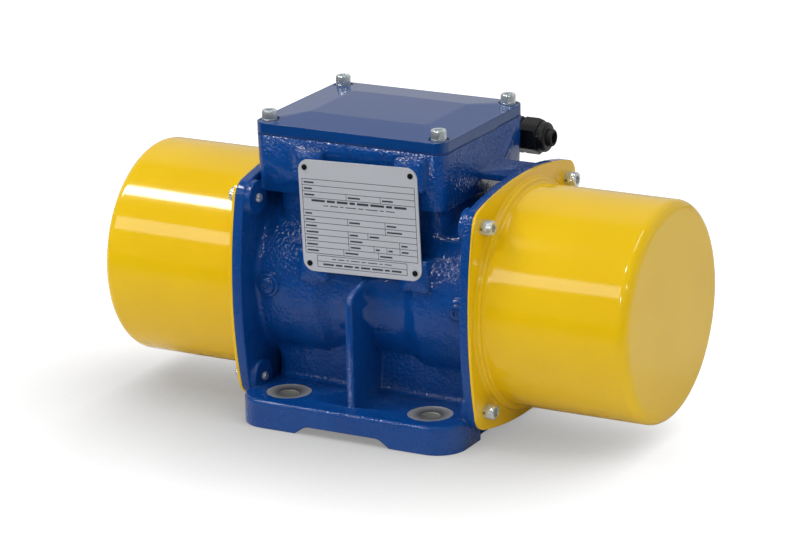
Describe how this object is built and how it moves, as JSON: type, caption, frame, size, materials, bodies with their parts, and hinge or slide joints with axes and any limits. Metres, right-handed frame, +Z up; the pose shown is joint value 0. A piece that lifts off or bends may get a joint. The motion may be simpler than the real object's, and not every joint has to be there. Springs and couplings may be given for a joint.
{
  "type": "vibration motor",
  "caption": "Foot-mounted electric vibration motor: ribbed cast housing with top terminal box, cable gland and eared end covers over adjustable eccentric weights.",
  "frame": {"origin": "middle of the four foot holes, on the plane the foot stands on, which is the bottom centre of the whole", "axes": "+X along the shaft towards the end that the cable gland points to, -Y the side with the nameplate, +Z up"},
  "size_m": [0.3846, 0.189, 0.2036],
  "materials": {
    "bearing_steel": "ground and polished",
    "black_nylon": "moulded nylon",
    "black_steel": "black oxide",
    "blue_paint": "gloss enamel over sand-cast iron",
    "board_plastic": "moulded phenolic",
    "brass": "bright",
    "cast_aluminium": "die cast",
    "copper_enamel": "varnished copper wire",
    "lamination_steel": "stamped laminations",
    "machined_iron": "machined",
    "plate_aluminium": "satin anodised",
    "rubber": "moulded",
    "turned_steel": "turned",
    "weight_steel": "flame cut and machined",
    "yellow_paint": "glossy powder coat on drawn steel",
    "zinc_steel": "bright zinc plate"
  },
  "bodies": {
    "housing": {"housing": "blue_paint", "stator_core": "lamination_steel", "stator_winding": "copper_enamel", "terminal_box_lid": "blue_paint", "terminal_lid_gasket": "rubber", "terminal_lid_screws": "zinc_steel", "terminal_lid_spring_washers": "zinc_steel", "terminal_board": "board_plastic", "terminal_board_screws": "zinc_steel", "terminal_studs": "brass", "terminal_nuts": "brass", "earth_screw": "brass", "gland_body": "black_nylon", "gland_dome_nut": "black_nylon", "gland_seal": "rubber", "nameplate": "plate_aluminium", "nameplate_pins": "black_steel", "grease_plugs": "blue_paint", "left_end_shield": "machined_iron", "left_end_shield_screws": "zinc_steel", "left_bearing_outer_ring": "bearing_steel", "left_bearing_circlip": "black_steel", "left_cover": "yellow_paint", "left_cover_o_ring": "rubber", "left_cover_screws": "zinc_steel", "left_cover_spring_washers": "zinc_steel", "right_end_shield": "machined_iron", "right_end_shield_screws": "zinc_steel", "right_bearing_outer_ring": "bearing_steel", "right_bearing_circlip": "black_steel", "right_cover": "yellow_paint", "right_cover_o_ring": "rubber", "right_cover_screws": "zinc_steel", "right_cover_spring_washers": "zinc_steel"},
    "rotor": {"rotor_core": "lamination_steel", "rotor_cage": "cast_aluminium", "shaft": "turned_steel", "left_bearing_inner_ring": "bearing_steel", "left_fixed_weight": "weight_steel", "left_weight_key": "turned_steel", "left_shaft_washer": "zinc_steel", "left_shaft_nut": "zinc_steel", "right_bearing_inner_ring": "bearing_steel", "right_fixed_weight": "weight_steel", "right_weight_key": "turned_steel", "right_shaft_washer": "zinc_steel", "right_shaft_nut": "zinc_steel"},
    "left_ball_set": {"left_bearing_balls": "bearing_steel", "left_bearing_cage": "turned_steel"},
    "left_adjustable_weight": {"left_adjustable_weight": "weight_steel", "left_clamp_bolt": "black_steel"},
    "right_ball_set": {"right_bearing_balls": "bearing_steel", "right_bearing_cage": "turned_steel"},
    "right_adjustable_weight": {"right_adjustable_weight": "weight_steel", "right_clamp_bolt": "black_steel"}
  },
  "joints": [
    {"name": "rotor_spin", "type": "hinge", "parent": "housing", "child": "rotor", "pos_m": [0, 0, 0.085], "axis": [1, 0, 0], "continuous": true},
    {"name": "left_balls_roll", "type": "hinge", "parent": "housing", "child": "left_ball_set", "pos_m": [0, 0, 0.085], "axis": [1, 0, 0], "continuous": true},
    {"name": "left_weight_setting", "type": "hinge", "parent": "rotor", "child": "left_adjustable_weight", "pos_m": [0, 0, 0.085], "axis": [1, 0, 0], "range_deg": [0, 180]},
    {"name": "right_balls_roll", "type": "hinge", "parent": "housing", "child": "right_ball_set", "pos_m": [0, 0, 0.085], "axis": [1, 0, 0], "continuous": true},
    {"name": "right_weight_setting", "type": "hinge", "parent": "rotor", "child": "right_adjustable_weight", "pos_m": [0, 0, 0.085], "axis": [1, 0, 0], "range_deg": [0, 180]}
  ],
  "couplings": [
    {"joint": "left_balls_roll", "follows": "rotor_spin", "ratio": 0.36782},
    {"joint": "right_balls_roll", "follows": "rotor_spin", "ratio": 0.36782}
  ]
}
